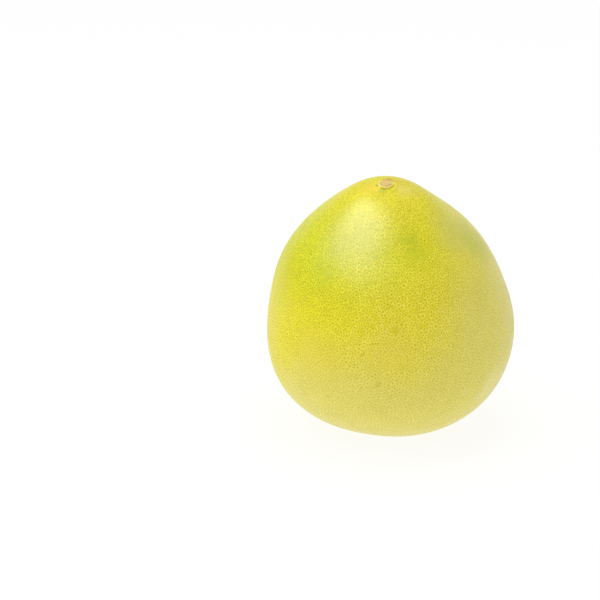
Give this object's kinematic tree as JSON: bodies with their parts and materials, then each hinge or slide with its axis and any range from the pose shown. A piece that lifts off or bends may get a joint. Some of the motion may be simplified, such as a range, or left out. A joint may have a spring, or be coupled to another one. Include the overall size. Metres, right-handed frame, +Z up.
{
  "type": "pomelo",
  "caption": "Whole pomelo as picked, yellow-green waxy rind with fine oil glands, blunt tapered stem end with dried calyx and cut stalk, resting on a small flat spot.",
  "frame": {"origin": "on the surface that the fruit rests on, under the middle of its box", "axes": "+Z up; the stem end leans 12.5 degrees towards -Y, the front, and 2.6 degrees towards -X, the left"},
  "size_m": [0.1532, 0.1534, 0.1627],
  "materials": {
    "rind": "waxy, semi-gloss, pitted with fine oil glands",
    "dried_calyx": "dry, matt",
    "cut_stalk": "dry, matt, fibrous"
  },
  "bodies": {
    "root": {"fruit": "rind", "calyx": "dried_calyx", "stem_stub": "cut_stalk"}
  },
  "joints": []
}
